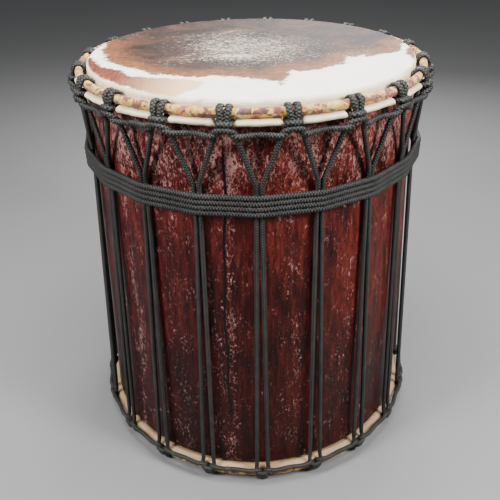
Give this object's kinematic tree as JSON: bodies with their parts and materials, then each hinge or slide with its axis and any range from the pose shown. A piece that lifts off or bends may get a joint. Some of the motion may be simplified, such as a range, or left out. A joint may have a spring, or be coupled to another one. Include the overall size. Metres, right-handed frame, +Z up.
{
  "type": "two-headed ceremonial rope drum",
  "caption": "Hollow wooden drum with a hide head on each end, cloth-wrapped hoops, rope hitches, zigzag rope lacing and a rope belt that draws the lacing into Vs.",
  "frame": {"origin": "centre of the bottom head's flat face, which the drum stands on", "axes": "+Z up along the drum's axis to the playing head; -Y towards the front"},
  "size_m": [0.51, 0.51, 0.547],
  "materials": {
    "wood": "oxblood-stained and varnished, with pale flecks along the grain",
    "hide": "cowhide with short brown, orange and white hair on the head and bare rawhide at the lap",
    "cloth": "cotton strip in yellow, orange, maroon and green, wound round the hoop",
    "rope": "charcoal braided synthetic rope with a slight sheen"
  },
  "bodies": {
    "root": {"shell": "wood", "head_top": "hide", "head_bottom": "hide", "crown_ring_top": "cloth", "crown_ring_bottom": "cloth", "hitch_rope_top": "rope", "hitch_rope_bottom": "rope", "lacing_rope": "rope", "belt_rope": "rope"}
  },
  "joints": []
}
